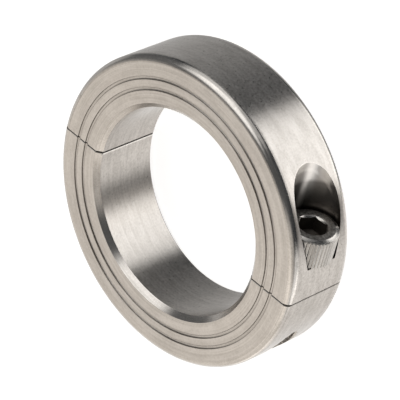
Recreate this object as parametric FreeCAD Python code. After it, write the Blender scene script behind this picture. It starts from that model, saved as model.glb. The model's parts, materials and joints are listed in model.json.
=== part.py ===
import FreeCAD, Part
import math
import os

# Two-piece clamping shaft collar for a 40 mm shaft, in millimetres.
#
# A stainless ring is turned to shape, grooved on its front face and sawn into two halves, which two
# socket head cap screws clamp round the shaft. The screws enter from opposite sides, so the halves are
# alike: each has a pocket for the head of one screw and a tapped hole for the thread of the other.
#
# The collar lies on its plain back face. The origin is the middle of that face, +Z runs up the bore
# axis and out of the grooved front face, and the halves part along Y, the upper one towards +Y.
# Both screws run parallel to Y at the middle of the width. The right one, at +X, has its head in the
# upper half, and the left one, at -X, has its head in the lower half.

# The turned ring
BORE_DIAMETER = 40.0
OUTER_DIAMETER = 60.0
WIDTH = 15.0
BORE_CHAMFER = 1.0
OUTER_EDGE_RADIUS = 1.4

# The two face grooves, each placed by its middle line
GROOVE_INSET = 4.25
GROOVE_SPACING = 2.05
GROOVE_WIDTH = 0.65
GROOVE_DEPTH = 0.3

# The saw cut between the halves, and the small bevel all along its edges
SPLIT_GAP = 0.15
SPLIT_EDGE_BREAK = 0.1

# The M6 clamp screws
THREAD_DIAMETER = 6.0
SCREW_LENGTH = 16.0
THREAD_PITCH = 1.0
THREAD_DEPTH_SHARE = 0.6
NECK_BEVEL = 0.25
HEAD_DIAMETER = 10.0
HEAD_HEIGHT = 6.0
HEAD_TOP_DIAMETER = 8.4
HEAD_TOP_CHAMFER = 0.5
KNURL_COUNT = 48
KNURL_DEPTH = 0.2
KNURL_LAND_SHARE = 0.4
HEX_ACROSS_FLATS = 5.0
HEX_DEPTH = 3.0
HEX_CORNER_SIDES = 6
HEX_LEAD_IN = 0.15
HEX_TURN = 4.0
DRILL_POINT_ANGLE = 120.0

# Where the screws sit in the halves
SEAT_HEIGHT = 6.5
SCREW_OUTWARD_SHIFT = 0.2
COUNTERBORE_CLEARANCE = 0.4
THROUGH_HOLE_CLEARANCE = 0.3
THREAD_RUNNING_CLEARANCE = 0.05
TAPPED_MOUTH_CHAMFER = 0.4

# Worked out from the sizes above
BORE_RADIUS = BORE_DIAMETER / 2
OUTER_RADIUS = OUTER_DIAMETER / 2
MID_WIDTH = WIDTH / 2
SCREW_OFFSET = (BORE_RADIUS + OUTER_RADIUS) / 2 + SCREW_OUTWARD_SHIFT
HEAD_RADIUS = HEAD_DIAMETER / 2
TAPPED_HOLE_RADIUS = THREAD_DIAMETER / 2
SHANK_RADIUS = TAPPED_HOLE_RADIUS - THREAD_RUNNING_CLEARANCE
TIP_CHAMFER = THREAD_PITCH * THREAD_DEPTH_SHARE

ORIGIN = FreeCAD.Vector(0, 0, 0)
X_AXIS = FreeCAD.Vector(1, 0, 0)
Y_AXIS = FreeCAD.Vector(0, 1, 0)
Z_AXIS = FreeCAD.Vector(0, 0, 1)
FULL_TURN = 360.0
HALF_TURN = 180.0
QUARTER_TURN = 90.0


def section_point(radius, height):
    """A point of a turned part's section, which is drawn in the XZ plane."""
    return FreeCAD.Vector(radius, 0, height)


def line(start, end):
    return Part.LineSegment(start, end).toShape()


def corner_arc(centre, radius, first_angle):
    """A quarter circle in the XZ plane, from first_angle on, in degrees."""
    points = []
    for share in (0, 0.5, 1):
        angle = math.radians(first_angle + share * QUARTER_TURN)
        points.append(centre + section_point(radius * math.cos(angle), radius * math.sin(angle)))
    return Part.Arc(*points).toShape()


def turned(edges):
    """The solid that a closed section of edges sweeps round the Z axis."""
    wire = Part.Wire(Part.__sortEdges__(edges))
    return Part.Face(wire).revolve(ORIGIN, Z_AXIS, FULL_TURN)


def turned_polygon(points):
    closed = points + points[:1]
    return turned([line(start, end) for start, end in zip(closed, closed[1:])])


def ring_outline(inset):
    """The ring's section with every side moved in by inset, or out where that is negative."""
    inside = BORE_RADIUS + inset
    outside = OUTER_RADIUS - inset
    back = inset
    front = WIDTH - inset
    chamfer = BORE_CHAMFER - inset * (2 - math.sqrt(2))
    edge_radius = OUTER_EDGE_RADIUS - inset
    return [
        line(section_point(inside, back + chamfer), section_point(inside, front - chamfer)),
        line(section_point(inside, front - chamfer), section_point(inside + chamfer, front)),
        line(section_point(inside + chamfer, front), section_point(outside - edge_radius, front)),
        corner_arc(section_point(outside - edge_radius, front - edge_radius), edge_radius, 0),
        line(section_point(outside, front - edge_radius), section_point(outside, back + edge_radius)),
        corner_arc(section_point(outside - edge_radius, back + edge_radius), edge_radius, -QUARTER_TURN),
        line(section_point(outside - edge_radius, back), section_point(inside + chamfer, back)),
        line(section_point(inside + chamfer, back), section_point(inside, back + chamfer)),
    ]


def face_groove(middle_radius):
    """The ring of metal that a square-nosed tool takes out of the front face."""
    inner = middle_radius - GROOVE_WIDTH / 2
    outer = middle_radius + GROOVE_WIDTH / 2
    floor = WIDTH - GROOVE_DEPTH
    above = WIDTH + GROOVE_DEPTH
    return turned_polygon([
        section_point(inner, floor),
        section_point(outer, floor),
        section_point(outer, above),
        section_point(inner, above),
    ])


def bevelled_stub(height):
    """A block that flares out from a sawn face at this height and leaves only its bevelled edges."""
    wires = []
    for inset, depth in ((SPLIT_EDGE_BREAK, 0), (-SPLIT_EDGE_BREAK, 2 * SPLIT_EDGE_BREAK)):
        wire = Part.Wire(Part.__sortEdges__(ring_outline(inset)))
        wire.translate(Y_AXIS * (height + depth))
        wires.append(wire)
    return Part.makeLoft(wires, True, True)


def sawn_half():
    """The half of the ring on the +Y side of the saw cut, with bevelled saw edges and its grooves."""
    saw_face = SPLIT_GAP / 2
    stub = bevelled_stub(saw_face)
    corner = FreeCAD.Vector(-OUTER_DIAMETER, saw_face + 2 * SPLIT_EDGE_BREAK, -WIDTH)
    beyond = Part.makeBox(2 * OUTER_DIAMETER, OUTER_DIAMETER, 3 * WIDTH, corner)
    room = beyond.fuse([stub, stub.mirror(ORIGIN, X_AXIS)])
    outer_groove = OUTER_RADIUS - GROOVE_INSET
    grooves = [face_groove(outer_groove), face_groove(outer_groove - GROOVE_SPACING)]
    return turned(ring_outline(0)).common(room).cut(grooves)


def head_pocket():
    """The cut for the right screw's head, which breaks out through the side, and its shank's hole."""
    foot = FreeCAD.Vector(SCREW_OFFSET, 0, MID_WIDTH)
    hole = Part.makeCylinder(THREAD_DIAMETER / 2 + THROUGH_HOLE_CLEARANCE, SEAT_HEIGHT, foot, Y_AXIS)
    pocket_radius = HEAD_RADIUS + COUNTERBORE_CLEARANCE
    seat = foot + Y_AXIS * SEAT_HEIGHT
    return hole.fuse(Part.makeCylinder(pocket_radius, OUTER_RADIUS - SEAT_HEIGHT, seat, Y_AXIS))


def tapped_hole():
    """The cut for the left screw's thread, right through the half and bevelled at the sawn face."""
    mouth = FreeCAD.Vector(-SCREW_OFFSET, SPLIT_GAP / 2, MID_WIDTH)
    hole = Part.makeCylinder(TAPPED_HOLE_RADIUS, OUTER_RADIUS, mouth, Y_AXIS)
    mouth_radius = TAPPED_HOLE_RADIUS + TAPPED_MOUTH_CHAMFER
    bevel = Part.makeCone(mouth_radius, TAPPED_HOLE_RADIUS, TAPPED_MOUTH_CHAMFER, mouth, Y_AXIS)
    return hole.fuse(bevel)


def collar_half():
    """The upper half. The lower one is the same piece, turned half round the bore."""
    return sawn_half().cut([head_pocket(), tapped_hole()])


def knurled_bar():
    """A bar as long as the head is high, with straight V grooves round it and flats between them."""
    pitch = 2 * math.pi / KNURL_COUNT
    points = []
    for tooth in range(KNURL_COUNT):
        for share, radius in (
            (0, HEAD_RADIUS),
            (KNURL_LAND_SHARE, HEAD_RADIUS),
            ((1 + KNURL_LAND_SHARE) / 2, HEAD_RADIUS - KNURL_DEPTH),
        ):
            angle = (tooth + share) * pitch
            points.append(FreeCAD.Vector(radius * math.cos(angle), radius * math.sin(angle), 0))
    outline = Part.makePolygon(points + points[:1])
    return Part.Face(outline).extrude(Z_AXIS * HEAD_HEIGHT)


def screw_head():
    """The knurled bar with its upper rim chamfered, standing on the seat at height 0."""
    rims = turned_polygon([
        section_point(0, 0),
        section_point(HEAD_RADIUS, 0),
        section_point(HEAD_RADIUS, HEAD_HEIGHT - HEAD_TOP_CHAMFER),
        section_point(HEAD_TOP_DIAMETER / 2, HEAD_HEIGHT),
        section_point(0, HEAD_HEIGHT),
    ])
    return knurled_bar().common(rims)


def screw_shank():
    """The shank below the seat, with a coned neck and a tip bevelled down to the thread's root."""
    return turned_polygon([
        section_point(0, 0),
        section_point(SHANK_RADIUS + NECK_BEVEL, 0),
        section_point(SHANK_RADIUS, -NECK_BEVEL),
        section_point(SHANK_RADIUS, TIP_CHAMFER - SCREW_LENGTH),
        section_point(SHANK_RADIUS - TIP_CHAMFER, -SCREW_LENGTH),
        section_point(0, -SCREW_LENGTH),
    ])


def hex_socket():
    """The key's hole: six flats, a coned lead-in at the mouth and a drill point at the bottom."""
    flat_radius = HEX_ACROSS_FLATS / 2
    corner_radius = flat_radius / math.cos(math.pi / HEX_CORNER_SIDES)
    floor = HEAD_HEIGHT - HEX_DEPTH
    corners = []
    for corner in range(HEX_CORNER_SIDES):
        angle = math.radians(HEX_TURN + corner * FULL_TURN / HEX_CORNER_SIDES)
        across, along = corner_radius * math.cos(angle), corner_radius * math.sin(angle)
        corners.append(FreeCAD.Vector(across, along, floor))
    flats = Part.Face(Part.makePolygon(corners + corners[:1])).extrude(Z_AXIS * HEX_DEPTH)
    point_depth = flat_radius / math.tan(math.radians(DRILL_POINT_ANGLE / 2))
    drill_point = Part.makeCone(0, flat_radius, point_depth, section_point(0, floor - point_depth))
    mouth_radius = corner_radius + HEX_LEAD_IN
    lead_in_depth = mouth_radius / math.tan(math.radians(DRILL_POINT_ANGLE / 2))
    lead_in = Part.makeCone(0, mouth_radius, lead_in_depth, section_point(0, HEAD_HEIGHT - lead_in_depth))
    return flats.fuse([drill_point, lead_in])


def clamp_screw():
    """The right-hand screw, made upright and then laid along Y with its head on the pocket's floor."""
    screw = screw_head().fuse(screw_shank()).removeSplitter().cut(hex_socket())
    screw.rotate(ORIGIN, X_AXIS, -QUARTER_TURN)
    screw.translate(FreeCAD.Vector(SCREW_OFFSET, SEAT_HEIGHT, MID_WIDTH))
    return screw


def half_round_the_bore(piece):
    """A copy of the piece where its twin sits, half a turn round the bore axis."""
    twin = piece.copy()
    twin.rotate(ORIGIN, Z_AXIS, HALF_TURN)
    return twin


def collar_pieces():
    half = collar_half()
    screw = clamp_screw()
    return {
        "upper_half": half,
        "lower_half": half_round_the_bore(half),
        "clamp_screw_right": screw,
        "clamp_screw_left": half_round_the_bore(screw),
    }


os.makedirs("parts", exist_ok=True)
for name, piece in collar_pieces().items():
    piece.exportStep("parts/" + name + ".step")
    print(name, "solids", len(piece.Solids), "valid", piece.isValid(), "volume", round(piece.Volume, 1))
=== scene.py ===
# %% [markdown]
# # A two-piece shaft collar
#
# The real object is a stainless steel ring that clamps on a 40 mm shaft. It is turned on a lathe, sawn
# in two, and drawn together by two socket head cap screws. This lesson starts from the measured CAD
# model, which says where every piece is, and gives each piece the finish that the machine left on it.
# Everything is in metres. The collar lies on its back face, and its bore runs up the Z axis.

# %% Load the measured frame
import json
import math

import bpy
from mathutils import Matrix, Quaternion, Vector


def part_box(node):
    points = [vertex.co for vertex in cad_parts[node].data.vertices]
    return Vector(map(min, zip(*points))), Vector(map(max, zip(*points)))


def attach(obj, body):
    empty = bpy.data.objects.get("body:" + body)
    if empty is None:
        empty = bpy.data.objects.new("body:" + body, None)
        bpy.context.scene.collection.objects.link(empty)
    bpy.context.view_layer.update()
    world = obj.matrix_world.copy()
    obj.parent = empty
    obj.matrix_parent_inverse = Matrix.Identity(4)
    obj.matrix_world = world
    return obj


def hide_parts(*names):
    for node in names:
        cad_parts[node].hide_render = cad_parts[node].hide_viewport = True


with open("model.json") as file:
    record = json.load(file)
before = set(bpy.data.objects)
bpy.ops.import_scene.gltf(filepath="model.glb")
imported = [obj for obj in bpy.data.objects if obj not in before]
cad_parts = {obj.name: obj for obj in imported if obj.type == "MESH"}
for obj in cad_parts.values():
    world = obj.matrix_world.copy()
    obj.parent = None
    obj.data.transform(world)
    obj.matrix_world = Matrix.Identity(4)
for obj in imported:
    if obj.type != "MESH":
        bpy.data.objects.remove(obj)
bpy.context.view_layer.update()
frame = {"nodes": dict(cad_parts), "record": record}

MM = 0.001

# %% [markdown]
# ## Sizes that every later cell shares
#
# Nothing is measured by eye here. The bore comes from the record, and the ring and the screws from the
# boxes round their CAD nodes. Only what a box can't tell, such as the pitch of the thread, is written
# as a number. The head of such a screw is as high as its thread is wide, which gives the height of the
# seat under it.

# %% Take the sizes from the frame
ring_low, ring_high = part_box("upper_half")
OUTER_RADIUS = round(ring_high.y, 5)
WIDTH = ring_high.z - ring_low.z
BORE_RADIUS = frame["record"]["mounts"][0]["dims"]["r_mm"] * MM

screw_low, screw_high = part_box("clamp_screw_right")
SCREW_X = (screw_low.x + screw_high.x) / 2
SCREW_Z = (screw_low.z + screw_high.z) / 2
HEAD_RADIUS = (screw_high.x - screw_low.x) / 2
THREAD_DIAMETER = 6 * MM
THREAD_PITCH = 1 * MM
HEAD_HEIGHT = THREAD_DIAMETER
SEAT_Y = screw_high.y - HEAD_HEIGHT
print("Ring in mm:", round(BORE_RADIUS / MM * 2, 1), round(OUTER_RADIUS / MM * 2, 1), round(WIDTH / MM, 1))
print("Screw axis at x", round(SCREW_X / MM, 2), "and seat at y", round(SEAT_Y / MM, 2))

# %% [markdown]
# ## The camera
#
# A long lens from half a metre away keeps the ring's ellipse nearly free of perspective, as in a
# catalogue picture. The camera looks at the middle of the bore from 40 degrees above the face, and it
# is rolled about its line of sight until the collar seems to stand on its rim. The focal length is
# counted in pixels of the picture, because that is how a camera is fitted to one, and turned into
# millimetres with the width of the sensor.

# %% Place the camera
PICTURE_SIDE = 400
FOCAL_LENGTH_PX = 2623.0
SENSOR_WIDTH = 36
AIM = Vector((-0.00029, 0.00018, WIDTH / 2))
CAMERA_DISTANCE = 0.48206
CAMERA_AZIMUTH = 50.585
CAMERA_ELEVATION = 40.271
CAMERA_ROLL = -113.068


def direction(azimuth, elevation):
    """The unit vector that points that way, with both angles in degrees."""
    level = math.cos(math.radians(elevation))
    turn = math.radians(azimuth)
    return Vector((level * math.cos(turn), level * math.sin(turn), math.sin(math.radians(elevation))))


camera_data = bpy.data.cameras.new("camera")
camera_data.sensor_width = SENSOR_WIDTH
camera_data.lens = FOCAL_LENGTH_PX * SENSOR_WIDTH / PICTURE_SIDE
camera = bpy.data.objects.new("camera", camera_data)
bpy.context.collection.objects.link(camera)
camera.location = AIM + direction(CAMERA_AZIMUTH, CAMERA_ELEVATION) * CAMERA_DISTANCE
level_view = (AIM - camera.location).to_track_quat("-Z", "Y")
camera.rotation_mode = "QUATERNION"
camera.rotation_quaternion = level_view @ Quaternion((0, 0, 1), math.radians(CAMERA_ROLL))
bpy.context.scene.camera = camera
bpy.context.scene.view_settings.view_transform = "Standard"
print("Camera in mm:", [round(part / MM, 1) for part in camera.location])

# %% [markdown]
# ## Small helpers for shader nodes
#
# Blender builds a material from nodes and links. The first helper makes a node, sets its options, and
# fills each input either with a plain value or with a link from another node's output. The others are
# short for sums on numbers and on vectors. They keep every material below as short as a recipe.

# %% Make shader nodes in one line
def add(tree, kind, inputs=None, **options):
    """A new node in the tree. Inputs are named or numbered, and each is a value or an output socket."""
    made = tree.nodes.new(kind)
    for option, value in options.items():
        setattr(made, option, value)
    for key, value in (inputs or {}).items():
        if isinstance(value, bpy.types.NodeSocket):
            tree.links.new(value, made.inputs[key])
        else:
            made.inputs[key].default_value = value
    return made


def maths(tree, operation, *values):
    """The result of one sum on numbers."""
    return add(tree, "ShaderNodeMath", dict(enumerate(values)), operation=operation).outputs[0]


def vector_maths(tree, operation, *values):
    """The vector that one sum on vectors gives."""
    return add(tree, "ShaderNodeVectorMath", dict(enumerate(values)), operation=operation).outputs[0]


def scaled(tree, vector, scale):
    """The vector, made longer or shorter."""
    return add(tree, "ShaderNodeVectorMath", {0: vector, "Scale": scale}, operation="SCALE").outputs[0]


print("Node helpers are ready")

# %% [markdown]
# ## The studio round the metal
#
# Bare metal has hardly any colour of its own: it shows the room. Catalogue pictures of turned steel are
# taken between softboxes, pale cards and dark gaps, and the dark gaps are what make it look like
# metal. Area lamps could stand for the softboxes, but the world can hold the whole room at once, as soft
# patches of light in fixed directions, and it costs hardly any render time. To place one, follow the
# line of sight to the collar and on along its mirrored direction: that is where the light has to stand.
#
# The backdrop is the white that the camera sees behind the collar. Mirror rays that leave the metal
# towards it have to meet the same white, so it is switched on for camera, glossy and transmission rays.

# %% List the patches of light
WARM = (1.0, 0.93, 0.85)
SOFT_WARM = (1.0, 0.96, 0.92)
NEUTRAL = (1.0, 0.985, 0.965)
STUDIO = [
    # name, azimuth and elevation, degrees off where it fades out and where it is full, strength, tint
    ("table", -100.6, 33.4, 65, 33, 0.77, WARM),
    ("key softbox", 113.0, 42.0, 36, 16, 1.2, NEUTRAL),
    ("front card", 118.0, 4.0, 28, 13, 0.65, NEUTRAL),
    ("edge card", 84.0, 9.0, 25, 12, 0.45, NEUTRAL),
    ("side softbox", 54.5, -53.0, 28, 21, 1.72, NEUTRAL),
    ("low card", -58.0, -37.0, 45, 40, 0.71, SOFT_WARM),
    ("high card", -25.8, 42.9, 37, 15, 0.41, WARM),
    ("side card", -19.4, -7.3, 25, 15, 0.77, NEUTRAL),
    ("low fill", 24.0, -41.0, 19, 8, 0.42, WARM),
    ("far card", 172.6, -45.0, 35, 20, 0.20, NEUTRAL),
    ("low far card", -168.0, -48.0, 28, 10, 0.25, NEUTRAL),
    ("far wall", -158.0, -6.0, 28, 10, 0.45, NEUTRAL),
    ("ceiling", 45.0, 45.0, 50, 25, 0.07, NEUTRAL),
    ("side wall", 165.0, 20.0, 40, 20, 0.10, NEUTRAL),
    ("pocket card", -38.0, 14.0, 18, 6, 0.35, NEUTRAL),
    ("floor bounce", -90.0, -75.0, 38, 18, 0.22, NEUTRAL),
]
BACKDROP = ("backdrop", -120.0, -28.0, 38, 18)
print("Studio patches:", [patch[0] for patch in STUDIO])

# %% [markdown]
# ## From the list to a room
#
# The world's shader knows in which direction a ray leaves the scene. How well that agrees with the
# direction of a patch says how deep in the patch the ray is, and a smooth ramp turns this into a share
# of its light: full in the middle and fading out towards the rim. The shares are added up over the
# faint glow of the room. A painted panorama could do the same, but here each patch can be moved and
# dimmed by itself.

# %% Build the studio world
ROOM_GLOW = (0.026, 0.029, 0.033)
WHITE = (1, 1, 1, 1)


def patch_share(tree, toward_ray, name, azimuth, elevation, fade_angle, full_angle):
    """1 in the middle of a patch of the studio, and 0 outside it."""
    inputs = {0: toward_ray, 1: direction(azimuth, elevation)}
    facing = add(tree, "ShaderNodeVectorMath", inputs, operation="DOT_PRODUCT", label=name).outputs["Value"]
    fades_out, full = [math.cos(math.radians(angle)) for angle in (fade_angle, full_angle)]
    inputs = {"Value": facing, "From Min": fades_out, "From Max": full}
    return add(tree, "ShaderNodeMapRange", inputs, interpolation_type="SMOOTHSTEP").outputs["Result"]


world = bpy.data.worlds.new("studio")
world.use_nodes = True
bpy.context.scene.world = world
sky = world.node_tree
sky.nodes.clear()
toward_ray = add(sky, "ShaderNodeTexCoord").outputs["Generated"]
light = ROOM_GLOW
for *patch, strength, tint in STUDIO:
    share = maths(sky, "MULTIPLY", patch_share(sky, toward_ray, *patch), strength)
    light = vector_maths(sky, "ADD", light, scaled(sky, tint, share))
room = add(sky, "ShaderNodeBackground", {"Color": light}).outputs[0]
white = add(sky, "ShaderNodeBackground", {"Color": WHITE}).outputs[0]
ray = add(sky, "ShaderNodeLightPath").outputs
mirrored = maths(sky, "MAXIMUM", ray["Is Glossy Ray"], ray["Is Transmission Ray"])
backdrop_seen = maths(sky, "MULTIPLY", mirrored, patch_share(sky, toward_ray, *BACKDROP))
shows_white = maths(sky, "MAXIMUM", ray["Is Camera Ray"], backdrop_seen)
shown = add(sky, "ShaderNodeMixShader", {0: shows_white, 1: room, 2: white}).outputs[0]
add(sky, "ShaderNodeOutputWorld", {"Surface": shown})
print("World shader:", len(sky.nodes), "nodes")

# %% [markdown]
# ## The floor
#
# The background of the picture is a pale sheet under the collar. For the camera it glows nearly white
# and still darkens where the collar shades it, which a plain white background would not. The metal
# doesn't mirror this sheet: the picture shows a dark band where an endless white floor would be
# mirrored, so the backdrop patch above is all the white that the metal sees. Some patches of the studio
# stand lower than the floor. It casts no shadow, so that their light still reaches the collar.

# %% Lay the floor
FLOOR_SIDE = 8.0
FLOOR_DROP = 0.01 * MM
FLOOR_GLOW = 0.76
SHEET_GREY = (0.8, 0.8, 0.8, 1)


def empty_material(name):
    """A new material without nodes, and the tree that they go into."""
    material = bpy.data.materials.new(name)
    material.use_nodes = True
    material.node_tree.nodes.clear()
    return material, material.node_tree


half_side = FLOOR_SIDE / 2
signs = [(-1, -1), (1, -1), (1, 1), (-1, 1)]
corners = [(half_side * x_sign, half_side * y_sign, -FLOOR_DROP) for x_sign, y_sign in signs]
floor_mesh = bpy.data.meshes.new("floor")
floor_mesh.from_pydata(corners, [], [(0, 1, 2, 3)])
floor = bpy.data.objects.new("floor", floor_mesh)
bpy.context.collection.objects.link(floor)
floor.visible_glossy = False
floor.visible_shadow = False

paper, tree = empty_material("pale_paper")
glow = add(tree, "ShaderNodeEmission", {"Color": WHITE, "Strength": FLOOR_GLOW}).outputs[0]
sheet = add(tree, "ShaderNodeBsdfDiffuse", {"Color": SHEET_GREY}).outputs[0]
both = add(tree, "ShaderNodeAddShader", {0: glow, 1: sheet}).outputs[0]
seen_by_camera = add(tree, "ShaderNodeLightPath").outputs["Is Camera Ray"]
shown = add(tree, "ShaderNodeMixShader", {0: seen_by_camera, 1: sheet, 2: both}).outputs[0]
add(tree, "ShaderNodeOutputMaterial", {"Surface": shown})
floor_mesh.materials.append(paper)
print("Floor side in m:", FLOOR_SIDE)

# %% [markdown]
# ## Noise, masks and blends
#
# A finish without pictures is built from three things. Noise stands for tool marks and handling, masks
# say where a cut is, and blends lay one finish over another. Node groups could hold them too, but a
# short function is easier to read and to change.

# %% Make noise, masks and blends in one line
def noise(tree, place, scale, detail=2.0):
    """Smooth noise whose grain differs along the three parts of the place."""
    stretched = vector_maths(tree, "MULTIPLY", place, scale)
    return add(tree, "ShaderNodeTexNoise", {"Vector": stretched, "Scale": 1.0, "Detail": detail}).outputs[0]


def inside(tree, value, low, high):
    """1 where the value lies between low and high, and 0 elsewhere."""
    above = maths(tree, "GREATER_THAN", value, low)
    return maths(tree, "MULTIPLY", above, maths(tree, "LESS_THAN", value, high))


def apart(tree, value, middle):
    """How far the value is from the middle, on either side of it."""
    return maths(tree, "ABSOLUTE", maths(tree, "SUBTRACT", value, middle))


def past(tree, value, edge):
    """How far the value is past the edge, and 0 before it."""
    return maths(tree, "MAXIMUM", maths(tree, "SUBTRACT", value, edge), 0.0)


def spread(tree, value, low, high, start=0.3, end=0.7):
    """The value, moved from the range start to end, where noise mostly lies, to the range low to high."""
    inputs = {"Value": value, "From Min": start, "From Max": end, "To Min": low, "To Max": high}
    return add(tree, "ShaderNodeMapRange", inputs).outputs[0]


def blend(tree, share, first, second, kind="FLOAT"):
    """A blend of two numbers, or of two colours or vectors where kind says so."""
    slots = {"FLOAT": (2, 3, 0), "VECTOR": (4, 5, 1), "RGBA": (6, 7, 2)}[kind]
    inputs = {0: share, slots[0]: first, slots[1]: second}
    return add(tree, "ShaderNodeMix", inputs, data_type=kind).outputs[slots[2]]


def paint(tree, share, under, over):
    """The colour under, covered by that share of the colour over."""
    return blend(tree, share, under, over, "RGBA")


print("Noise, masks and blends are ready")

# %% [markdown]
# ## Where a point lies on the lathe
#
# A lathe tool leaves fine lines that run round the bore axis, on the faces as rings and on the outside
# as hoops. So the finish needs to know a point's radius, its height and its angle. It could be painted
# by hand or given to separate faces, but a formula in the object's own coordinates follows the CAD
# exactly. The formulas of this finish count in millimetres.
#
# The collar is the same again after half a turn. So the height over the split counts towards +Y on the
# right side and towards -Y on the left, and one set of masks serves both screws.

# %% Find a point's place on the lathe
JUST_INSIDE = 0.05
UP = (0.0, 0.0, 1.0)


def length(tree, vector):
    """The length of a vector."""
    return add(tree, "ShaderNodeVectorMath", {0: vector}, operation="LENGTH").outputs["Value"]


def object_places(tree):
    """A point's place in the object, in millimetres, and what follows from it round the Z axis."""
    in_mm = scaled(tree, add(tree, "ShaderNodeTexCoord").outputs["Object"], 1 / MM)
    x, y, z = add(tree, "ShaderNodeSeparateXYZ", {0: in_mm}).outputs
    outward = add(tree, "ShaderNodeCombineXYZ", {0: x, 1: y}).outputs[0]
    return {
        "mm": in_mm,
        "x": x,
        "y": y,
        "z": z,
        "radius": length(tree, outward),
        "turn": maths(tree, "ARCTAN2", y, x),
        "round": vector_maths(tree, "CROSS_PRODUCT", outward, UP),
    }


def mark_lathe(tree, at):
    """Places that count from the split and from mid-width, and masks for the outside and the bore."""
    at["side"] = maths(tree, "SIGN", at["x"])
    at["over_split"] = maths(tree, "MULTIPLY", at["y"], at["side"])
    at["off_split"] = maths(tree, "ABSOLUTE", at["y"])
    at["off_middle"] = maths(tree, "SUBTRACT", at["z"], SCREW_Z / MM)
    at["outside"] = maths(tree, "GREATER_THAN", at["radius"], OUTER_RADIUS / MM - JUST_INSIDE)
    at["in_bore"] = maths(tree, "LESS_THAN", at["radius"], BORE_RADIUS / MM + JUST_INSIDE)


print("Masks reach into the steel by", JUST_INSIDE, "mm")

# %% [markdown]
# ## Where the drill went
#
# In the screw holes the cutter went round another axis, and its lines turn with it there. One mask
# takes in the pocket of the head, the hole under it and the tapped hole on the other half. Picking
# their faces by number would break with the next change of the CAD, but the distance from the screw's
# axis still finds them.

# %% Mark the screw holes
POCKET_RADIUS = HEAD_RADIUS / MM + 0.4
HOLE_REACH = 3.45
SCREW_AXIS = (0.0, 1.0, 0.0)


def mark_screw_holes(tree, at):
    """Masks for the pockets of the heads and for all that was drilled."""
    past_axis = maths(tree, "SUBTRACT", maths(tree, "ABSOLUTE", at["x"]), SCREW_X / MM)
    past_axis = maths(tree, "MULTIPLY", past_axis, at["side"])
    off_axis = add(tree, "ShaderNodeCombineXYZ", {0: past_axis, 2: at["off_middle"]}).outputs[0]
    axis_distance = length(tree, off_axis)
    above_seat = maths(tree, "GREATER_THAN", at["over_split"], SEAT_Y / MM - JUST_INSIDE)
    in_pocket = maths(tree, "LESS_THAN", axis_distance, POCKET_RADIUS + JUST_INSIDE)
    in_hole = maths(tree, "LESS_THAN", axis_distance, HOLE_REACH)
    below_skin = maths(tree, "LESS_THAN", at["radius"], OUTER_RADIUS / MM - JUST_INSIDE)
    at["pocket"] = maths(tree, "MULTIPLY", in_pocket, above_seat)
    at["drilled"] = maths(tree, "MAXIMUM", at["pocket"], maths(tree, "MULTIPLY", in_hole, below_skin))
    at["round_screw"] = vector_maths(tree, "CROSS_PRODUCT", off_axis, SCREW_AXIS)


print("Pocket radius in mm:", round(POCKET_RADIUS, 2))

# %% [markdown]
# ## Where the grooves and the saw cuts are
#
# The grooves and the split are cut in the CAD, so a render shows them anyway. The masks add painted shade in
# them, and mark the matt edge that the saw leaves. The painted dark edge of the split is widest at the
# corners of the front and thinnest in the bore, where the edge of one half was left bright.

# %% Mark the grooves and the saw cuts
GROOVE_RADII = (25.75, 23.7)
GROOVE_REACH = 0.36
FRONT_DEPTH = 1.0
CORNER_BAND = 1.0
# How far off the split the saw band reaches, which is also how wide its painted shade is
SAW_REACH = 0.17
CORNER_SAW_REACH = 0.27
BORE_SAW_REACH = 0.09
BORE_SKIN = 0.15
BRIGHT_EDGE_HEIGHT = 0.6


def mark_grooves(tree, at):
    """A mask for the two grooves, and how far a point is from the middle of the nearer one."""
    at["off_groove"] = maths(tree, "MINIMUM", *[apart(tree, at["radius"], middle) for middle in GROOVE_RADII])
    at["on_front"] = maths(tree, "GREATER_THAN", at["z"], WIDTH / MM - FRONT_DEPTH)
    in_groove = maths(tree, "LESS_THAN", at["off_groove"], GROOVE_REACH)
    at["groove"] = maths(tree, "MULTIPLY", in_groove, at["on_front"])


def mark_saw_cuts(tree, at):
    """Masks for the split's painted dark edges and its bright one, and how far across the painted shade a
    point is.
    """
    mid_face = inside(tree, at["radius"], BORE_RADIUS / MM + CORNER_BAND, OUTER_RADIUS / MM - CORNER_BAND)
    on_corner = maths(tree, "MULTIPLY", maths(tree, "SUBTRACT", 1.0, mid_face), at["on_front"])
    near_bore = maths(tree, "LESS_THAN", at["radius"], BORE_RADIUS / MM + BORE_SKIN)
    bright_side = maths(tree, "MULTIPLY", near_bore, maths(tree, "GREATER_THAN", at["over_split"], 0.0))
    saw_reach = blend(tree, on_corner, SAW_REACH, CORNER_SAW_REACH)
    saw_reach = blend(tree, bright_side, saw_reach, BORE_SAW_REACH)
    # How far across the painted shade of the split a point is
    at["saw_share"] = maths(tree, "DIVIDE", at["off_split"], saw_reach)
    at["sawn"] = maths(tree, "LESS_THAN", at["saw_share"], 1.0)
    beside_split = maths(tree, "LESS_THAN", at["over_split"], BRIGHT_EDGE_HEIGHT)
    at["bright_edge"] = maths(tree, "MULTIPLY", bright_side, beside_split)


print("Dark edge of the saw cut in mm:", SAW_REACH, "and", CORNER_SAW_REACH, "at the corners")

# %% [markdown]
# ## The rounded edges and the chamfers
#
# The long outer edges are rounded by a form tool and then polished, and the chamfers of the bore are a
# clean cut, so both mirror more sharply than the rest. Where such a rounding meets the face and the
# outside, a real tool leaves a faint crease, and that is what draws the crisp dark lines beside the
# bright band. It could be cut into a mesh, but it is only about a tenth of a millimetre deep, so a slope
# in the bump is enough.

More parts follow.
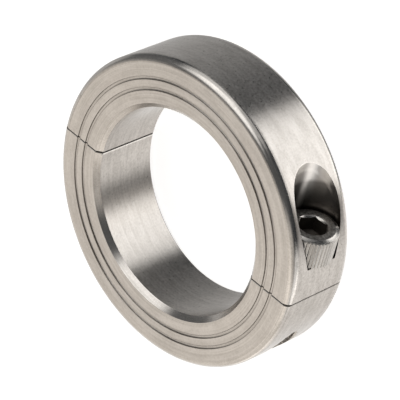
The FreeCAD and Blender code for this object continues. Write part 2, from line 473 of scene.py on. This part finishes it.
# %% Mark the rounded edges and the chamfers
EDGE_ROUND = 1.4
FACE_REACH = OUTER_RADIUS / MM - EDGE_ROUND
RIM_REACH = WIDTH / MM / 2 - EDGE_ROUND
RIM_CREASE_LEAD = 0.3
RIM_CREASE_WIDTH = 0.8
FACE_CREASE_WIDTH = 0.5
OUTER_BAND = 1.0
ROUND_FADE = 0.1
CHAMFER_BAND = (0.04, 0.97)


def mark_edges(tree, at):
    """Masks for the rounded edges and the chamfers, and the slope of the crease beside a rounding."""
    off_middle = maths(tree, "ABSOLUTE", at["off_middle"])
    past_face = past(tree, at["radius"], FACE_REACH)
    past_rim = past(tree, off_middle, RIM_REACH)
    rim_crease = past(tree, off_middle, RIM_REACH - RIM_CREASE_LEAD)
    rim_crease = maths(tree, "MINIMUM", rim_crease, RIM_CREASE_WIDTH)
    near_outside = maths(tree, "GREATER_THAN", at["radius"], FACE_REACH - OUTER_BAND)
    rim_crease = maths(tree, "MULTIPLY", rim_crease, near_outside)
    face_crease = maths(tree, "MINIMUM", past_face, FACE_CREASE_WIDTH)
    at["crease"] = maths(tree, "ADD", rim_crease, face_crease)
    at["rounded"] = spread(tree, maths(tree, "MULTIPLY", past_face, past_rim), 0.0, 1.0, 0.0, ROUND_FADE)
    chamfer_start, chamfer_end = [BORE_RADIUS / MM + distance for distance in CHAMFER_BAND]
    at["chamfer"] = inside(tree, at["radius"], chamfer_start, chamfer_end)


print("Rounded from radius", round(FACE_REACH, 2), "mm and from", round(RIM_REACH, 2), "mm off mid-width")

# %% [markdown]
# ## The marks of the tools
#
# Noise that changes quickly across the lines and slowly along them draws the lines themselves. An even
# speckle lies over them, most of all on the outside, which was tumbled, and on the sawn faces there are
# the marks of the saw instead. Broader noise gives the cloudy look of steel that was handled. A picture
# of real steel could be wrapped on instead, but it would blur in a close view and show where it repeats.
# The seam of the angle falls on the saw cut, so it never shows.

# %% Draw the marks of the tools
# How often each noise changes: in a millimetre of radius and of height, and in a radian of turn
LINES = (8.0, 8.0, 1.2)
CLOUDS = (0.9, 0.9, 6.0)
RINGS = (2.2, 2.2, 0.5)
# And in a millimetre along X, Y and Z
SPECKLE = (2.3, 2.3, 2.3)
SAW_MARKS = (6.0, 1.0, 0.4)
FACE_SPECKLE = 0.45
BORE_SPECKLE = 0.78
OUTSIDE_SPECKLE = 0.93
FACE_RINGS = 0.5
OUTSIDE_RINGS = 0.15
GRAIN_IN_TONE = 0.5


def mark_tool_lines(tree, at):
    """Noise for the lines, for the grain of the surface and for its tone."""
    lathe = add(tree, "ShaderNodeCombineXYZ", {0: at["radius"], 1: at["z"], 2: at["turn"]}).outputs[0]
    at["lines"] = noise(tree, lathe, LINES)
    speckle_share = blend(tree, at["in_bore"], FACE_SPECKLE, BORE_SPECKLE)
    speckle_share = blend(tree, at["outside"], speckle_share, OUTSIDE_SPECKLE)
    grain = blend(tree, speckle_share, at["lines"], noise(tree, at["mm"], SPECKLE, detail=3.0))
    at["grain"] = blend(tree, at["sawn"], grain, noise(tree, at["mm"], SAW_MARKS))
    ring_share = blend(tree, at["outside"], FACE_RINGS, OUTSIDE_RINGS)
    smooth_tone = blend(tree, ring_share, noise(tree, lathe, CLOUDS, detail=4.0), noise(tree, lathe, RINGS))
    at["tone"] = blend(tree, GRAIN_IN_TONE, smooth_tone, at["grain"])


print("Turned lines in a millimetre, about:", LINES[0])

# %% [markdown]
# ## The colour of the steel
#
# Clean stainless steel is a warm, pale grey, and its tone drifts a little with the grain. The pocket is
# painted paler, which lightens its upper wall. Its lower part, by the head, is darkened with painted shade
# that ends in a sharp rim, apart from one paler painted streak where a reflection falls. Grooves and saw cuts
# get painted shade, because little light gets out of them. Shades could be painted one over the other, but
# then they would add up. Here each shade is a ramp over a distance, and where two of them meet, the darker
# one counts.

# %% Colour the steel
STEEL = (0.79, 0.758, 0.722, 1)
STEEL_DULL = (0.60, 0.572, 0.538, 1)
# A paler steel, painted on the pocket to lighten its upper wall
STEEL_PAINTED_LIGHT = (0.95, 0.92, 0.88, 1)
# The colour of all painted shade on the steel
STEEL_SHADE = (0.07, 0.06, 0.052, 1)
TONE_RANGE = (0.41, 0.59)
POCKET_PAINTED_LIGHT = 0.8
# Each ramp of painted shade: the shade at its start and at its end, and where it starts and ends. The grooves
# and the split get it where light hardly gets in.
GROOVE_PAINTED_SHADE_RAMP = (0.1, 0.2, 0.15, 0.3)
SPLIT_PAINTED_SHADE_RAMP = (0.8, 0.25, 0.45, 1.0)
# Painted shade low in the pocket by the head, ending in a sharp rim, and a paler painted streak across it
# where a reflection falls
POCKET_PAINTED_SHADE_RAMP = (0.94, 0.6, 13.5, 17.9)
POCKET_SHADE_EDGE_RAMP = (1.0, 0.0, 17.9, 18.7)
PAINTED_STREAK_RAMP = (0.55, 1.0, 0.2, 1.0)
PAINTED_STREAK_AT = 6.2


def steel_colour(tree, at):
    """Pale turned steel, a pocket painted paler, and painted shade in the grooves, along the split and low in
    the pocket.
    """
    colour = paint(tree, spread(tree, at["tone"], 0.0, 1.0, *TONE_RANGE), STEEL_DULL, STEEL)
    # The pocket is painted paler, which lightens its upper wall
    colour = paint(tree, maths(tree, "MULTIPLY", at["pocket"], POCKET_PAINTED_LIGHT), colour, STEEL_PAINTED_LIGHT)
    # Painted shade in the grooves and along the split, where light hardly gets in
    groove_painted_shade = maths(tree, "MULTIPLY", at["groove"], spread(tree, at["off_groove"], *GROOVE_PAINTED_SHADE_RAMP))
    split_painted_shade = maths(tree, "MULTIPLY", at["sawn"], spread(tree, at["saw_share"], *SPLIT_PAINTED_SHADE_RAMP))
    # Painted shade low in the pocket, darkest by the head, lighter along one painted streak of reflection
    pocket_painted_shade = spread(tree, at["over_split"], *POCKET_PAINTED_SHADE_RAMP)
    pocket_painted_shade = maths(tree, "MULTIPLY", pocket_painted_shade, spread(tree, apart(tree, at["z"], PAINTED_STREAK_AT), *PAINTED_STREAK_RAMP))
    pocket_painted_shade = maths(tree, "MULTIPLY", pocket_painted_shade, spread(tree, at["over_split"], *POCKET_SHADE_EDGE_RAMP))
    pocket_painted_shade = maths(tree, "MULTIPLY", at["pocket"], pocket_painted_shade)
    shade = maths(tree, "MAXIMUM", maths(tree, "MAXIMUM", groove_painted_shade, split_painted_shade), pocket_painted_shade)
    return paint(tree, shade, colour, STEEL_SHADE)


print("Steel goes from", STEEL_DULL[:3], "to", STEEL[:3])

# %% [markdown]
# ## How sharply it mirrors
#
# Roughness says how far a mirrored image is blurred. The turned faces have a satin finish that varies
# with the grain, the chamfers and the rounded edges are smoother, and the saw leaves the roughest
# surface. One number for all of them would look like plastic foil.

# %% Set the roughness of the steel
SATIN = (0.27, 0.36)
POLISHED = (0.13, 0.25)
CUT_ROUGHNESS = {"groove": 0.3, "sawn": 0.45, "drilled": 0.3}
CHAMFER_ROUGHNESS = 0.21


def steel_roughness(tree, at):
    """Satin on the turned faces, smoother on the worked edges, and rougher where it was sawn."""
    rough = spread(tree, at["grain"], *SATIN)
    rough = blend(tree, at["chamfer"], rough, CHAMFER_ROUGHNESS)
    rough = blend(tree, at["rounded"], rough, spread(tree, at["lines"], *POLISHED))
    for cut, roughness in CUT_ROUGHNESS.items():
        rough = blend(tree, at[cut], rough, roughness)
    return rough


print("Roughness of the cuts:", CUT_ROUGHNESS)

# %% [markdown]
# ## The relief of the surface
#
# The marks lift the surface by only a few thousandths of a millimetre, which is work for a bump and not
# for a mesh. The bevel node softens the sharp CAD edges where they catch the light. A first bump bends
# the grooves into a bowl, gives the bright edge of the split its slope and adds the crease of the
# rounded edges. A second one puts the grain on top.

# %% Give the steel its relief
SOFT_EDGE = 0.08 * MM
BEVEL_SAMPLES = 6
GROOVE_BOWL = 0.15 * MM
BRIGHT_EDGE_WIDTH = 0.5
BRIGHT_EDGE_SLOPE = 1.2 * MM
CREASE_SLOPE = 0.1 * MM
LINE_HEIGHT = 0.004 * MM
GRAIN_STRENGTH = 0.8


def soft_edges(tree, radius):
    """The surface's direction, with edges softened over that radius."""
    return add(tree, "ShaderNodeBevel", {"Radius": radius}, samples=BEVEL_SAMPLES).outputs[0]


def bump(tree, height, strength, distance, normal):
    """The direction of a surface that has that height on it."""
    inputs = {"Height": height, "Strength": strength, "Distance": distance, "Normal": normal}
    return add(tree, "ShaderNodeBump", inputs).outputs[0]


def steel_relief(tree, at):
    """Soft edges, bowls in the grooves, a slope on the bright edge, creases, and the grain."""
    across_groove = maths(tree, "POWER", maths(tree, "DIVIDE", at["off_groove"], GROOVE_REACH), 2.0)
    bowl = maths(tree, "MULTIPLY", blend(tree, at["groove"], 1.0, across_groove), GROOVE_BOWL)
    up_edge = maths(tree, "MINIMUM", at["off_split"], BRIGHT_EDGE_WIDTH)
    shape = blend(tree, at["bright_edge"], bowl, maths(tree, "MULTIPLY", up_edge, BRIGHT_EDGE_SLOPE))
    shape = maths(tree, "SUBTRACT", shape, maths(tree, "MULTIPLY", at["crease"], CREASE_SLOPE))
    shaped = bump(tree, shape, 1.0, 1.0, soft_edges(tree, SOFT_EDGE))
    return bump(tree, at["grain"], GRAIN_STRENGTH, LINE_HEIGHT, shaped)


print("Height of the tool marks in mm:", LINE_HEIGHT / MM)

# %% [markdown]
# ## Turned stainless steel
#
# Fine lines spread a reflection across them and keep it sharp along them, which is what the anisotropic
# setting does. The tangent input tells Blender which way the lines run: round the bore, or round the
# screw where it was drilled. The quarter turn lays the blur across the lines. Both halves are turned
# from one ring, so they share one material, and it goes on the CAD nodes as they are.

# %% Finish the halves
QUARTER_TURN = 0.25
TURNED_BRUSHING = 0.75


def brushed_metal(tree, colour, roughness, relief, brushing, along):
    """Bare metal with lines that run along the tangent, joined to the material's output."""
    inputs = {
        "Base Color": colour,
        "Metallic": 1.0,
        "Roughness": roughness,
        "Anisotropic": brushing,
        "Anisotropic Rotation": QUARTER_TURN,
        "Normal": relief,
        "Tangent": along,
    }
    metal = add(tree, "ShaderNodeBsdfPrincipled", inputs).outputs[0]
    add(tree, "ShaderNodeOutputMaterial", {"Surface": metal})


def turned_steel():
    """The finish of the ring, with every cut where the CAD has it."""
    material, tree = empty_material("turned_steel")
    at = object_places(tree)
    for mark in (mark_lathe, mark_screw_holes, mark_grooves, mark_saw_cuts, mark_edges, mark_tool_lines):
        mark(tree, at)
    along = blend(tree, at["drilled"], at["round"], at["round_screw"], "VECTOR")
    colour = steel_colour(tree, at)
    roughness = steel_roughness(tree, at)
    brushed_metal(tree, colour, roughness, steel_relief(tree, at), TURNED_BRUSHING, along)
    return material


ring_steel = turned_steel()
for name in ("upper_half", "lower_half"):
    frame["nodes"][name].data.materials.clear()
    frame["nodes"][name].data.materials.append(ring_steel)
print("Finish on the halves:", ring_steel.name, "with", len(ring_steel.node_tree.nodes), "nodes")

# %% [markdown]
# ## A grid of rings
#
# The screws and the threads of their holes are all rings round an axis. Each ring of the grid has a
# radius and a height that may change round the axis, which is how a hexagon, a knurl and a thread come
# out of the same function. A screw modifier could wind a thread too, but it couldn't join it to the
# head in one closed mesh.

# %% Wrap a grid of rings round an axis
KNURL_COUNT = 48
KNURL_LAND = 0.58
KNURL_FLOOR = 0.79
SCREW_TURN = math.radians(4)
SHARP_ANGLE = math.radians(32)


def ring_angles(shares=(0,)):
    """Angles round the axis, with one for each share of a knurl tooth that is listed."""
    tooth = 2 * math.pi / KNURL_COUNT
    return [SCREW_TURN + (count + share) * tooth for count in range(KNURL_COUNT) for share in shares]


def value_at(value, *where):
    """The value itself, or where it is a function, what it gives there."""
    return value(*where) if callable(value) else value


def ring_grid(name, rings, angles, closed=False):
    """A mesh with its axis along Z. Its two ends are flat caps, or where closed they join each other."""
    points = []
    for radius, height in rings:
        for angle in angles:
            up = value_at(height, angle)
            out = value_at(radius, angle, up)
            points.append((out * math.cos(angle), out * math.sin(angle), up))
    around = len(angles)
    last = (len(rings) - 1) * around
    faces = []
    for ring in range(len(rings) if closed else len(rings) - 1):
        here = ring * around
        there = (ring + 1) % len(rings) * around
        for step in range(around):
            after = (step + 1) % around
            faces.append((here + step, there + step, there + after, here + after))
    if not closed:
        faces.append(tuple(range(around)))
        faces.append(tuple(reversed(range(last, last + around))))
    mesh = bpy.data.meshes.new(name)
    mesh.from_pydata(points, [], faces)
    mesh.shade_smooth()
    mesh.set_sharp_from_angle(angle=SHARP_ANGLE)
    return mesh


screw_angles = ring_angles((0, KNURL_LAND, KNURL_FLOOR))
print("Angles round a screw:", len(screw_angles))

# %% [markdown]
# ## The heads of the clamp screws
#
# Each screw is a socket head cap screw: a knurled head with a hexagonal hole for the key, and a rolled
# thread. Its CAD model has a plain shank, and this piece takes its place, with a real thread. Its
# outlines that aren't round are given as the radius at each angle: the hexagon, and the knurl with its
# flat lands. The mouth of the hexagon is round and worn, so the lip between the two is deep over the
# flats and shallow at the corners. Booleans could cut all this from a cylinder, but they would leave a
# mesh whose edges are hard to soften.

# %% Shape the hexagon, the knurl and the lip
KNURL_DEPTH = 0.1 * MM
ROUND_OFF = 0.001
SIXTH = math.pi / 3
HEX_FLAT = 2.45 * MM
HEX_LEAD_IN = 0.15 * MM
HEX_MOUTH = HEX_FLAT / math.cos(SIXTH / 2) + HEX_LEAD_IN
LIP_DEPTH = 0.75


def hexagon(angle, *height):
    """The radius of the key's hole, which is the same at every height."""
    return HEX_FLAT / math.cos((angle - SCREW_TURN) % SIXTH - SIXTH / 2)


def knurl(angle, *height):
    """The radius of the head's side, with flat lands and V grooves between them."""
    share = (angle - SCREW_TURN) * KNURL_COUNT / (2 * math.pi) % 1
    on_land = share < KNURL_LAND + ROUND_OFF or share > 1 - ROUND_OFF
    return HEAD_RADIUS if on_land else HEAD_RADIUS - KNURL_DEPTH


def lip(share):
    """The height of the lip where it has dropped by that share of its depth."""
    return lambda angle: HEAD_HEIGHT - (HEX_MOUTH - hexagon(angle)) * LIP_DEPTH * share


print("Key's hole in mm:", round(2 * HEX_FLAT / MM, 2), "wide, and its mouth", round(2 * HEX_MOUTH / MM, 2))

# %% [markdown]
# ## The rings of a head
#
# The rings start at the bottom of the key's hole, go up its walls, over the head and down to the neck.
# A ring on each side of an edge rounds it a little, because real edges always catch the light. A bevel
# modifier could do that too, but it would also round every edge of the fine knurl. The small steps are
# counted in EDGE, the width of such a rounding. The chamfer is slightly domed: its two middle rings
# stand a little above the straight line from the flat top to the shoulder.

# %% Stack the rings of a head
HEAD_TOP_RADIUS = 4.2 * MM
HEAD_CHAMFER = 0.5 * MM
HEX_FLOOR = HEAD_HEIGHT - 3 * MM
DRILL_SLOPE = math.tan(math.radians(60))
EDGE = 0.06 * MM
LIP_HALFWAY = 0.3
CREST_RADIUS = THREAD_DIAMETER / 2 - 0.05 * MM
NECK_LENGTH = 0.25 * MM
NECK_RADIUS = CREST_RADIUS + NECK_LENGTH


def head_rings():
    """The rings from the bottom of the key's hole, over the top and down to the neck."""
    slope = HEAD_CHAMFER / (HEAD_RADIUS - HEAD_TOP_RADIUS)
    shoulder = HEAD_RADIUS - EDGE
    shoulder_height = HEAD_HEIGHT - (shoulder - HEAD_TOP_RADIUS) * slope
    return [
        (EDGE, HEX_FLOOR - (HEX_FLAT - EDGE) / DRILL_SLOPE),
        (HEX_FLAT - EDGE, HEX_FLOOR),
        (hexagon, HEX_FLOOR),
        (hexagon, lip(1)),
        (lambda angle, *height: (HEX_MOUTH + hexagon(angle)) / 2, lip(LIP_HALFWAY)),
        (HEX_MOUTH - EDGE, HEAD_HEIGHT - EDGE / 4),
        (HEX_MOUTH + EDGE, HEAD_HEIGHT),
        (HEAD_TOP_RADIUS - EDGE, HEAD_HEIGHT),
        (HEAD_TOP_RADIUS, HEAD_HEIGHT - EDGE / 4),
        (HEAD_TOP_RADIUS + EDGE, HEAD_HEIGHT - EDGE * slope),
        (HEAD_TOP_RADIUS + 5 * EDGE, HEAD_HEIGHT - 2.5 * EDGE),
        (shoulder - 2 * EDGE, shoulder_height + 3.5 * EDGE),
        (shoulder, shoulder_height - EDGE / 2),
        (lambda angle, *height: (knurl(angle) + shoulder) / 2, shoulder_height - EDGE),
        (knurl, shoulder_height - 2 * EDGE),
        (knurl, 3 * EDGE),
        (lambda angle, *height: knurl(angle) - 2 * EDGE, EDGE / 2),
        (HEAD_RADIUS - 6 * EDGE, 0),
        (NECK_RADIUS, 0),
    ]


print("Rings of the head:", len(head_rings()))

# %% [markdown]
# ## The thread
#
# A thread is a ridge that climbs one pitch in each turn. On a grid that means that a point's radius
# depends on its height minus the share of a turn that it stands at. The ridge is a wave whose crest and
# root are cut flat, as on a rolled thread. The tapped hole's thread uses the same wave a little further
# out, so the two always fit, also while the screw turns.

# %% Wind the thread and make the screws
SCREW_LENGTH = 16 * MM
ROOT_RADIUS = 2.4 * MM
THREAD_MIDDLE = 2.69 * MM
THREAD_SWING = 0.34 * MM
RINGS_PER_PITCH = 12
PLAIN_LENGTH = 0.5 * MM
TIP_CHAMFER = 0.6 * MM


def thread_wave(angle, height, shift=0.0):
    """The radius of a wave that climbs one pitch in a turn."""
    phase = height / THREAD_PITCH - angle / (2 * math.pi)
    return THREAD_MIDDLE + shift + THREAD_SWING * math.cos(2 * math.pi * phase)


def screw_thread(angle, height):
    """The thread's radius, which runs out below the neck and is bevelled at the tip."""
    ridge = min(CREST_RADIUS, max(ROOT_RADIUS, thread_wave(angle, height)))
    run_out = min(CREST_RADIUS, CREST_RADIUS + (height + PLAIN_LENGTH))
    tip = CREST_RADIUS - TIP_CHAMFER + (height + SCREW_LENGTH)
    return min(max(ridge, run_out), tip)


def screw_mesh():
    """The head and the shank in one closed mesh, upright on the head's seat."""
    threaded = SCREW_LENGTH - NECK_LENGTH
    steps = round(threaded / THREAD_PITCH * RINGS_PER_PITCH)
    shank = [(screw_thread, -NECK_LENGTH - threaded * step / steps) for step in range(steps + 1)]
    return ring_grid("clamp_screw", head_rings() + shank, screw_angles)


def on_seat(side):
    """The place of a screw that stands upright on its seat: the right one, or half a turn on, the left."""
    laid_down = Matrix.Rotation(math.radians(-90), 4, "X")
    right = Matrix.Translation((SCREW_X, SEAT_Y, SCREW_Z)) @ laid_down
    return right if side == "right" else Matrix.Rotation(math.pi, 4, "Z") @ right


for side in ("right", "left"):
    screw = bpy.data.objects.new("threaded_screw_" + side, screw_mesh())
    bpy.context.collection.objects.link(screw)
    screw.matrix_world = on_seat(side)
    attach(screw, "screw_" + side)
    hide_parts("clamp_screw_" + side)
    print(screw.name, "has", len(screw.data.polygons), "faces")

# %% [markdown]
# ## The threads of the tapped holes
#
# The CAD model has plain holes through the halves. Each gets a sleeve that carries the thread, with its
# outer skin just inside the steel, so that the hole and the sleeve look like one piece. At its far end
# the sleeve is cut off along the outside of the ring. Cutting it with a Boolean modifier would be one
# line, but stepping down to where each part of the wall comes out keeps the grid clean.

# %% Find where the tapped holes end
TAP_ROOT = THREAD_DIAMETER / 2 - 0.015 * MM
TAP_CREST = 2.46 * MM
TAP_SHIFT = 0.05 * MM
MOUTH_RADIUS = 3.4 * MM
SPLIT_FACE = 0.075 * MM
SKIN_DEPTH = 0.005 * MM
EXIT_STEP = 0.01 * MM
SLEEVE_START = -SEAT_Y - SPLIT_FACE - (MOUTH_RADIUS - TAP_ROOT)


def tapped_thread(angle, height):
    """The radius of the hole's thread, which opens into a cone at the sawn face."""
    mouth_cone = MOUTH_RADIUS + (height + SEAT_Y + SPLIT_FACE)
    return max(mouth_cone, TAP_CREST, min(TAP_ROOT, thread_wave(angle, height, TAP_SHIFT)))


def leaves_steel(angle, height, radius):
    """Whether a point of the wall is outside the ring."""
    across = SCREW_X + radius * math.cos(angle)
    return math.hypot(across, height + SEAT_Y) > OUTER_RADIUS - SKIN_DEPTH


def hole_end(angle, wall_radius):
    """The height at which the hole's wall first comes out of the ring."""
    height = SLEEVE_START
    while not leaves_steel(angle, height, value_at(wall_radius, angle, height)):
        height -= EXIT_STEP
    return height + EXIT_STEP


print("Sleeves start in mm below the seat at:", round(-SLEEVE_START / MM, 2))

# %% [markdown]
# ## The sleeves
#
# A sleeve is one closed grid: its inner wall carries the thread, and its outer skin is plain. The holes
# belong to the halves, so the sleeve on the right rides on the lower half and the one on the left on the
# upper half. The thread could be a bump on the wall of the hole instead, but at the open end of the hole
# its outline shows, and a bump doesn't change an outline.

# %% Cut the threads of the tapped holes
SLEEVE_SHARES = (0, 0.5)
TAP_RINGS = 260
SLEEVE_SKIN = THREAD_DIAMETER / 2 + 0.02 * MM


def sleeve_mesh():
    """The thread's inner wall from its far end back to the sawn face, and the plain skin behind it."""
    angles = ring_angles(SLEEVE_SHARES)
    thread_end = {angle: hole_end(angle, tapped_thread) for angle in angles}
    skin_end = {angle: hole_end(angle, SLEEVE_SKIN) for angle in angles}

    def part_way(share):
        """The height of a ring that is this share of the way to the far end."""
        return lambda angle: SLEEVE_START + (thread_end[angle] - SLEEVE_START) * share

    rings = [(tapped_thread, part_way(1 - step / TAP_RINGS)) for step in range(TAP_RINGS + 1)]
    rings += [(SLEEVE_SKIN, SLEEVE_START), (SLEEVE_SKIN, lambda angle: skin_end[angle])]
    return ring_grid("sleeve", rings, angles, closed=True)


for side, body in (("right", "lower"), ("left", "upper")):
    sleeve = bpy.data.objects.new("tapped_thread_" + side, sleeve_mesh())
    bpy.context.collection.objects.link(sleeve)
    sleeve.data.transform(on_seat(side))
    sleeve.data.materials.append(ring_steel)
    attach(sleeve, body)
    print(sleeve.name, "has", len(sleeve.data.polygons), "faces")

# %% [markdown]
# ## The steel of the screws
#
# The top of the head, the key's hole and the knurl of a real screw don't look alike. Each could have a
# material of its own, but then every face has to be told which one it takes. The radius and the height
# from the screw's own axis tell these places apart without that. A screw stands in its place by its
# object and not by its mesh, so its own axis is Z here. Scuffs are noise of one size all over, and the
# swirl is noise that runs round the axis.

# %% Mark the places of a screw
SCUFFS = (2.2, 2.2, 2.2)
SWIRL = (9.0, 1.0, 9.0)
# Places in millimetres from the screw's axis and above its seat
HEX_REACH = 2.95
HEX_HEIGHTS = (0.5, 5.67)
TOP_HEIGHT = 5.97
KNURL_HEIGHTS = (0.0, 5.4)
# Between these radii the knurl's grooves get painted shade
KNURL_SHADE_RADII = (4.0, 4.93)
KNURL_RADIUS = 4.86


def mark_screw(tree, at):
    """Masks for the key's hole, the flat top and the knurl, and noise for the finish."""
    swirl_place = add(tree, "ShaderNodeCombineXYZ", {0: at["radius"], 1: at["turn"], 2: at["z"]}).outputs[0]
    at["scuffs"] = noise(tree, at["mm"], SCUFFS, detail=5.0)
    at["swirl"] = noise(tree, swirl_place, SWIRL)
    near_hex = maths(tree, "LESS_THAN", at["radius"], HEX_REACH)
    at["hex"] = maths(tree, "MULTIPLY", near_hex, inside(tree, at["z"], *HEX_HEIGHTS))
    near_axis = maths(tree, "LESS_THAN", at["radius"], HEAD_TOP_RADIUS / MM)
    at["top"] = maths(tree, "MULTIPLY", near_axis, maths(tree, "GREATER_THAN", at["z"], TOP_HEIGHT))
    beside_knurl = inside(tree, at["z"], *KNURL_HEIGHTS)
    # Where the knurl's grooves get painted shade
    at["knurl_grime"] = maths(tree, "MULTIPLY", inside(tree, at["radius"], *KNURL_SHADE_RADII), beside_knurl)
    on_land = maths(tree, "GREATER_THAN", at["radius"], KNURL_RADIUS)
    at["knurl"] = maths(tree, "MULTIPLY", on_land, beside_knurl)


print("Knurl in mm above the seat:", KNURL_HEIGHTS)

# %% [markdown]
# ## Cold formed steel
#
# The head is cold formed and then chamfered, so its top is scuffed. The top is painted darker with shade than
# the bright chamfer round it, unevenly with the scuffs, and the key's hole is painted dark for the shadow in
# it. The knurl is pale on its lands and has painted shade in its grooves. The recipe is the same as for the
# halves: colour, roughness, relief and the direction of the lines. That direction has to be turned from the
# object to the world, because a screw lies on its side. A tangent from a UV map would turn by itself, but it
# needs the mesh to be unwrapped.

# %% Finish the screws
HEAD_PALE = (0.74, 0.72, 0.69, 1)
HEAD_DULL = (0.60, 0.575, 0.545, 1)
# The colour of the painted shade in the key's hole
HEX_SHADE = (0.10, 0.088, 0.075, 1)
# How much painted shade each place gets, and how rough it is
TOP_PAINTED_SHADE = (0.6, 0.15)
KNURL_PAINTED_SHADE = 0.35
HEX_PAINTED_SHADE = 0.95
FORMED = (0.20, 0.34)
HEX_ROUGHNESS = 0.5
KNURL_ROUGHNESS = 0.42
TOP_ROUGHNESS = (0.3, 0.5)
SWIRL_STRENGTH = 0.5
SCREW_BRUSHING = 0.5


def screw_steel():
    """The finish of a screw, by radius and height from its own axis."""
    material, tree = empty_material("screw_steel")
    at = object_places(tree)
    mark_screw(tree, at)
    colour = paint(tree, spread(tree, at["scuffs"], 0.0, 1.0), HEAD_DULL, HEAD_PALE)
    # The flat top is darkened with painted shade, unevenly with the scuffs
    top_painted_shade = maths(tree, "MULTIPLY", at["top"], spread(tree, at["scuffs"], *TOP_PAINTED_SHADE))
    colour = paint(tree, top_painted_shade, colour, STEEL_SHADE)
    # Painted shade in the knurl's grooves
    colour = paint(tree, maths(tree, "MULTIPLY", at["knurl_grime"], KNURL_PAINTED_SHADE), colour, STEEL_SHADE)
    # The key's hole is painted dark for the shadow in it
    colour = paint(tree, maths(tree, "MULTIPLY", at["hex"], HEX_PAINTED_SHADE), colour, HEX_SHADE)
    rough = blend(tree, at["hex"], spread(tree, at["swirl"], *FORMED), HEX_ROUGHNESS)
    rough = blend(tree, at["knurl"], rough, KNURL_ROUGHNESS)
    rough = blend(tree, at["top"], rough, spread(tree, at["scuffs"], *TOP_ROUGHNESS))
    relief = bump(tree, at["swirl"], SWIRL_STRENGTH, LINE_HEIGHT, soft_edges(tree, EDGE))
    options = {"vector_type": "VECTOR", "convert_from": "OBJECT", "convert_to": "WORLD"}
    along = add(tree, "ShaderNodeVectorTransform", {0: at["round"]}, **options).outputs[0]
    brushed_metal(tree, colour, rough, relief, SCREW_BRUSHING, along)
    return material


head_steel = screw_steel()
for side in ("right", "left"):
    bpy.data.objects["threaded_screw_" + side].data.materials.append(head_steel)
print("Finish on the screws:", head_steel.name)
